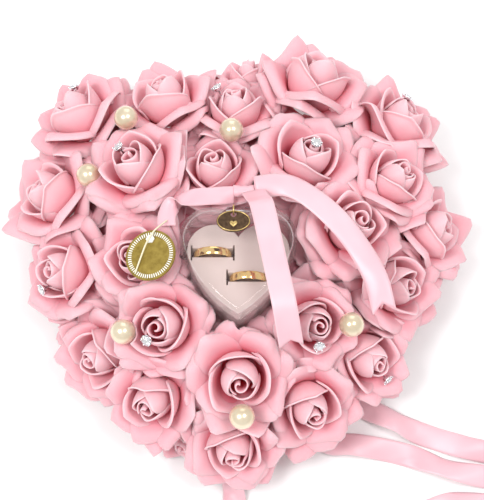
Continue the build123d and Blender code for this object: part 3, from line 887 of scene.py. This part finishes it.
def slit_outline(name):
    """Outline of a ring's slit, with a short cross cut at each end."""
    low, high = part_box(name)
    x, y = (low.x + high.x) / 2, (low.y + high.y) / 2
    half_length = (high.x - low.x) / 2 + 0.6 * MM
    half_width = (high.y - low.y) / 2 + 0.35 * MM
    end = half_length + CROSS_CUT_WIDTH
    corners = [
        (half_length, half_width), (half_length, CROSS_CUT_HALF), (end, CROSS_CUT_HALF),
        (end, -CROSS_CUT_HALF), (half_length, -CROSS_CUT_HALF), (half_length, -half_width),
    ]
    corners += [(-a, -b) for a, b in corners]
    return [(x + a, y + b) for a, b in corners]


def make_insert():
    """Flocked foam heart with softened edges and two slits that hold the rings."""
    bevel = 0.35 * MM
    curve = bpy.data.curves.new("insert_heart", "CURVE")
    curve.dimensions = "2D"
    curve.fill_mode = "BOTH"
    curve.extrude = (insert_high.z - insert_low.z) / 2 - bevel
    curve.bevel_depth = bevel
    curve.bevel_resolution = 3
    curve.offset = -bevel
    add_loop(curve, insert_outline)
    for name in ("ring_left", "ring_right"):
        add_loop(curve, slit_outline(name))
    source = put("insert_source", curve)
    bpy.context.view_layer.update()
    mesh = bpy.data.meshes.new_from_object(source.evaluated_get(bpy.context.evaluated_depsgraph_get()))
    bpy.data.objects.remove(source)
    mesh.name = "insert_heart"
    mesh.transform(Matrix.Translation((0, 0, (insert_high.z + insert_low.z) / 2)))
    finish_piece(put("insert_heart", mesh), FLOCK, "root", ["ring_insert"])
    # Brown sheets on the floors of the slit ends paint the shade deep in the cuts.
    slit_shade = Shape()
    for name in ("ring_left", "ring_right"):
        outline = np.array(slit_outline(name))
        floor_height = insert_low.z + 0.1 * MM
        for low_x, high_x in ((0, 0.35), (0.65, 1)):
            cut = outline.min(0) + (outline.max(0) - outline.min(0)) * np.array([[low_x, 0], [high_x, 1]])
            corners = np.array([(cut[0][0], cut[0][1]), (cut[1][0], cut[0][1]), cut[1], (cut[0][0], cut[1][1])])
            slit_shade.prism(corners, [(0, floor_height), (0, floor_height + 0.2 * MM)])
    finish_piece(slit_shade.make("slit_shade_sheet", False), SLIT_SHADE, "root", ())


def make_ring(name, body):
    """Wedding band with a domed outside, rounded inside and two fine turned lines."""
    low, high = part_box(name)
    centre = (low + high) / 2
    outer = (high.x - low.x) / 2
    half = (high.y - low.y) / 2
    profile = []
    for share in np.linspace(-1, 1, 21):
        groove = 0.12 * MM if 0.62 < abs(share) < 0.72 else 0
        profile.append((outer - 0.5 * MM * abs(share) ** 3.5 - groove, share * half))
    for share in np.linspace(1, -1, 9):
        profile.append((outer - 1.4 * MM + 0.35 * MM * abs(share) ** 3, share * half * 0.98))
    profile.append(profile[0])
    shape = Shape()
    shape.lathe(profile, 96, frame_matrix(centre, Vector((0, 1, 0))))
    finish_piece(shape.make(f"band_{name}"), GOLD, body, [name])


make_insert()
make_ring("ring_left", "left_ring")
make_ring("ring_right", "right_ring")


# -------- tag and charm
def make_tag():
    """Raised rim, ring of printed dashes and a hexagonal lock on the round tag."""
    rim_radius = 0.965 * TAG_RADIUS
    circle = oval(rim_radius, rim_radius, TAG_THICKNESS, 96)
    circle = [tuple(TAG_PLACE @ Vector(point)) for point in circle]
    ring_bead("tag_rim", circle, 0.28 * MM, TAG_GOLD, "tag", 8)
    dashes = Shape()
    inner, outer, half = 10.9 * MM, 13.0 * MM, 0.24 * MM
    corners = np.array([(inner, -half), (outer, -half * 1.2), (outer, half * 1.2), (inner, half)])
    levels = [(0, TAG_THICKNESS), (0, TAG_THICKNESS + 0.08 * MM), (0.08 * MM, TAG_THICKNESS + 0.14 * MM)]
    for step in range(TAG_DASHES):
        turn = Matrix.Rotation(2 * math.pi * step / TAG_DASHES, 4, "Z")
        bar = Shape()
        bar.prism(corners, levels)
        dashes.add(moved(bar.points[0], TAG_PLACE @ turn), bar.faces)
    finish_piece(dashes.make("tag_dashes", False), TAG_WHITE, "tag", ())
    lock = Shape()
    centre = TAG_PLACE @ Matrix.Translation((0, TAG_HOLE_OFFSET, TAG_THICKNESS + 0.1 * MM))
    lock.lathe(scaled(LOCK_PROFILE), 6, centre)
    finish_piece(lock.make("tag_lock_head", False), TAG_WHITE, "tag", ["tag_lock"])


def make_charm():
    """Raised rim and a small plain heart on the oval charm."""
    low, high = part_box("charm_plate")
    middle = (low + high) / 2
    half_x, half_y = (high.x - low.x) / 2, (high.y - low.y) / 2
    edge = oval(0.95 * half_x, 0.93 * half_y, high.z, 72, middle)
    ring_bead("charm_edge", edge, 0.3 * MM, BRASS, "charm", 8)
    turns = np.linspace(0, 2 * math.pi, 40, endpoint=False)
    x = 16 * np.sin(turns) ** 3
    y = 13 * np.cos(turns) - 5 * np.cos(2 * turns) - 2 * np.cos(3 * turns) - np.cos(4 * turns)
    outline = np.stack([x, y], axis=1) * 0.13 * MM + np.array([middle.x, middle.y - 1.6 * MM])
    heart = Shape()
    heart.prism(outline, [(0, high.z - 0.1 * MM), (0, high.z + 0.2 * MM), (0.4 * MM, high.z + 0.4 * MM)])
    finish_piece(heart.make("charm_heart"), BRASS, "charm", ())


make_tag()
make_charm()

# -------- ribbons
SATIN_THICKNESS = 0.35 * MM
RIBBON_ACROSS = 11
RIBBON_STEPS = 56
RIBBON_WIDTH = 13.0
LOOP_WIDTH = 10.0
TRAIL_SEED = 20


def ribbon(name, centres, sides, width, node, held, on, crown, ripple, seed, notch=0.0, body="root"):
    """Satin strip along a smooth route. sides turn its width, crown arches it, notch cuts a V in its end."""
    rng = random.Random(seed)
    line, length = smooth_line(np.array(centres) * MM, RIBBON_STEPS)
    places = np.linspace(0, 1, len(sides))
    share = np.linspace(0, 1, RIBBON_STEPS)
    side = np.stack([np.interp(share, places, np.array(sides, float)[:, axis]) for axis in range(3)], axis=1)
    ahead = np.gradient(line, axis=0)
    ahead /= np.linalg.norm(ahead, axis=1)[:, None]
    side -= ahead * (side * ahead).sum(1)[:, None]
    side /= np.linalg.norm(side, axis=1)[:, None]
    up = np.cross(ahead, side)
    up *= np.sign(up[:, 2:3] + 1e-6)
    across = np.linspace(-1, 1, RIBBON_ACROSS)
    phase = rng.uniform(0, 6.3)
    grid = []
    tones = []
    for offset in across:
        lift = crown * MM * (1 - offset**2) * (0.6 + 0.4 * np.sin(9 * share + phase))
        lift = lift + ripple * MM * offset * np.sin(14 * share + 1.3 * phase)
        column = line + side * (offset * width * MM / 2) + up * lift[:, None]
        if notch:
            pull = ramp_up(0.82, 1, share) * notch * MM * (1 - abs(offset))
            column = column - ahead * pull[:, None]
        grid.append(column)
        tones.append(np.full(RIBBON_STEPS, abs(offset)))
    grid = np.array(grid)
    grid[:, :, 2] = np.maximum(grid[:, :, 2], 0.3 * MM)
    shape = Shape()
    shape.sheet(grid, np.array(tones), SATIN_THICKNESS)
    obj = shape.make(name)
    finish_piece(obj, SATIN, body, [node])
    return obj


def make_bow():
    """Knot, hanging loop and the two tails of the bow."""
    knot = Shape()
    angles = np.linspace(0, 2 * math.pi, 49)[:, None]
    across = np.linspace(-1, 1, 13)[None, :]
    low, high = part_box("bow_knot")
    middle = (low + high) / 2
    pinch = 0.80 + 0.20 * across**2
    crease = 1 + 0.05 * np.sin(9 * across + 3 * np.sin(angles))
    x = middle.x + across * 5.8 * MM + 0 * angles
    y = middle.y + 3.6 * MM * np.cos(angles) * pinch * crease
    z = middle.z + 2.6 * MM * np.sin(angles) * pinch * crease
    knot.sheet(np.stack([x, y, z], axis=2), np.broadcast_to(np.abs(across), x.shape), SATIN_THICKNESS, closed=True)
    obj = finish_piece(knot.make("ribbon_knot"), SATIN, "root", ["bow_knot"])

    loop = [(-4.5, 17.0, 86.2), (-16, 16.4, 86.6), (-28, 15.4, 86.4), (-37, 12.4, 86.2)]
    loop += [(-41, 5.5, 86.0), (-41, -1, 85.8)]
    turns = [(0, 1, 0.5), (0, 1, 0.25), (0.1, 1, -0.1), (0.7, 0.8, -0.2), (1, 0.1, -0.1), (1, 0, 0.1)]
    ribbon("ribbon_loop", loop, turns, LOOP_WIDTH, "bow_loop", "folded", "petals_rose_07", 1.5, 0.8, seed=3)

    tail = [(7, 20.5, 88.0), (24, 21.6, 89.6), (40, 12.6, 89.4), (57, -5.5, 89.2)]
    tail += [(70.5, -29, 88.2), (76, -50, 85.5)]
    turns = [(0, 1, 0.3), (-0.1, 1, 0.1), (0.6, 0.8, -0.15), (0.75, 0.65, 0.1), (0.95, 0.3, 0.1), (1, 0.1, 0)]
    laid = ("bow_tail_right", "draped", "petals_rose_12")
    ribbon("ribbon_tail_right", tail, turns, RIBBON_WIDTH, *laid, 1.6, 1.0, seed=4, notch=5)

    tail = [(6, 18.5, 89.2), (8.4, 12.0, 95.5), (10.6, 5.0, 103.0), (14.4, -13, 103.6), (18.4, -33, 103.6)]
    tail += [(21.8, -50, 103.0), (24.2, -62, 96.5), (26, -70, 89.5)]
    turns = [(1, 0.2, tilt) for tilt in (0, 0, 0.05, 0, -0.03, 0, 0.08, 0)]
    laid = ("bow_tail_left", "draped", "ring_box_lid")
    left = ribbon("ribbon_tail_left", tail, turns, RIBBON_WIDTH, *laid, 0.5, 0.15, seed=5, notch=4, body=None)
    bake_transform(left)


def make_trails():
    """Four ribbon ends that come out from under the cushion and lie on the table."""
    routes = {
        "trailing_ribbon_1": [
            (65, -79.5, 3), (74, -84, 3), (88, -91, 6), (104, -98, 2), (128, -106, 4), (149, -110, 1.5),
        ],
        "trailing_ribbon_2": [
            (45, -99, 3), (52, -104, 3), (66, -105, 6), (94, -110, 2), (122, -120, 5), (149, -124, 1.2),
        ],
        "trailing_ribbon_3": [(149, -140, 1.2), (122, -138, 4), (98, -146, 2), (78, -157, 1.2)],
        "trailing_ribbon_4": [(-3, -112, 2.0), (-5, -124, 4.5), (-4, -138, 2.5), (-2, -151, 1.2)],
    }
    for index, (name, centres) in enumerate(routes.items()):
        lean = 0.25 * (-1) ** index
        if name == "trailing_ribbon_4":
            sides = [(1, 0, lean), (1, 0.1, -lean), (1, 0, lean)]
        else:
            sides = [(0.2, 1, lean), (0.3, 1, -lean), (0.2, 1, lean * 1.4), (0.2, 1, 0)]
        ribbon(f"satin_{name}", centres, sides, RIBBON_WIDTH, name, "laid", "table", 1.6, 1.2, seed=TRAIL_SEED + index)


make_bow()


# -------- floor, lights and world
FLOOR_HALF = 4


def make_floor():
    """Plain pale floor that runs past every view."""
    shape = Shape()
    far = FLOOR_HALF
    shape.add([(-far, -far, 0), (far, -far, 0), (far, far, 0), (-far, far, 0)], [(0, 1, 2, 3)])
    obj = shape.make("table", False)
    m = Nodes("table")
    m.set(Base_Color=m.ramp(m.noise(3, 2), [(0.3, (0.93, 0.93, 0.93)), (0.7, (0.95, 0.95, 0.95))]), Roughness=0.9)
    obj.data.materials.append(m.material)


LIGHT_AIM = Vector((0, 0, 0.05))
WORLD_STRENGTH = 0.74
CLEAR_BOUNCES = 32  # for the stacked walls of the clear box


def add_light(name, location, size, power):
    """Square softbox aimed at the cushion."""
    data = bpy.data.lights.new(name, "AREA")
    data.shape = "SQUARE"
    data.size = size
    data.energy = power
    light = put(name, data)
    light.location = location
    light.rotation_euler = (LIGHT_AIM - Vector(location)).to_track_quat("-Z", "Y").to_euler()


make_floor()
make_trails()
add_light("key_left", (-0.50, -0.30, 1.15), 0.4, 8.0)
add_light("key_right", (0.45, -0.15, 1.2), 0.4, 5.0)
add_light("back_fill", (0.1, 1.2, 0.9), 0.9, 3)
world = bpy.data.worlds.new("world")
world.use_nodes = True
world.node_tree.nodes["Background"].inputs["Color"].default_value = (1, 1, 1, 1)
world.node_tree.nodes["Background"].inputs["Strength"].default_value = WORLD_STRENGTH
scene.world = world
scene.view_settings.view_transform = "Standard"
scene.cycles.transparent_max_bounces = CLEAR_BOUNCES

# -------- materials of the CAD nodes
NODE_MATERIALS = {
    "felt_backing": FELT,
    "base_board": BOARD,
    "cover_fabric": COVER,
    "foam_core": CORE,
    "pearl_pins": STEEL,
    "hinge_pin": STEEL,
    "stone_settings": SILVER,
    "rhinestones": CRYSTAL,
    "ring_box_base": CLEAR,
    "ring_box_lid": CLEAR,
    "insert_card": BOARD,
    "ring_insert": FLOCK,
    "ring_left": GOLD,
    "ring_right": GOLD,
    "tag_disc": TAG_GOLD,
    "tag_lock": TAG_WHITE,
    "tag_cord": STRING,
    "charm_plate": BRONZE,
    "charm_ring": BRASS,
}
for name, obj in nodes.items():
    if name.startswith("rose_"):
        material = ROSE
    elif name.startswith("pearl_") and name not in NODE_MATERIALS:
        material = PEARL
    else:
        material = NODE_MATERIALS.get(name, SATIN)  # the ribbons
    if not obj.data.materials:
        obj.data.materials.append(material)
    for slot in obj.material_slots:
        slot.material = material
